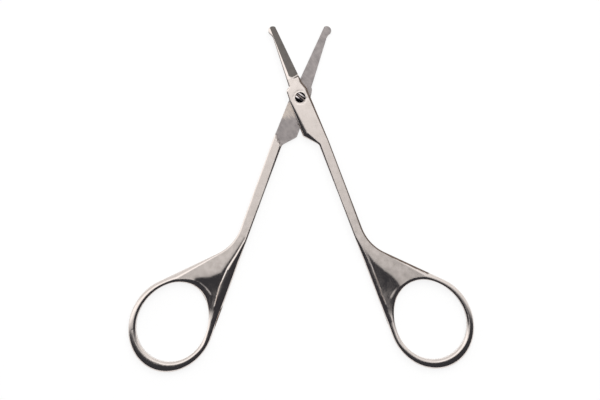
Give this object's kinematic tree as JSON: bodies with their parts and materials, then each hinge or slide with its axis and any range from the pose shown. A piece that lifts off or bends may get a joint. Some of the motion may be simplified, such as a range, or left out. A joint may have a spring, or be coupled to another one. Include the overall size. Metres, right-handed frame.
{
  "type": "facial scissors",
  "caption": "Small steel facial scissors with blunt rounded tips, crossed halves that turn on a slotted screw, and oval finger rings, lying open.",
  "frame": {"origin": "middle of the open scissors' outline, on the plane they lie on", "axes": "+Z along the pivot's axis, up out of the front face; +Y from the finger rings towards the tips, halfway between the blades; +X towards the front half's ring"},
  "size_m": [0.0906, 0.0904, 0.0032],
  "materials": {
    "stainless_steel": "polished, with finely ground facets and inner faces",
    "screw_steel": "dark polished"
  },
  "bodies": {
    "rear": {"rear_half": "stainless_steel", "pivot_screw": "screw_steel"},
    "front": {"front_half": "stainless_steel"}
  },
  "joints": [
    {"name": "pivot", "type": "hinge", "parent": "rear", "child": "front", "pos_m": [0.00019, 0.02648, 0.0015], "axis": [0, 0, 1], "range_deg": [-40.9, 117]}
  ]
}
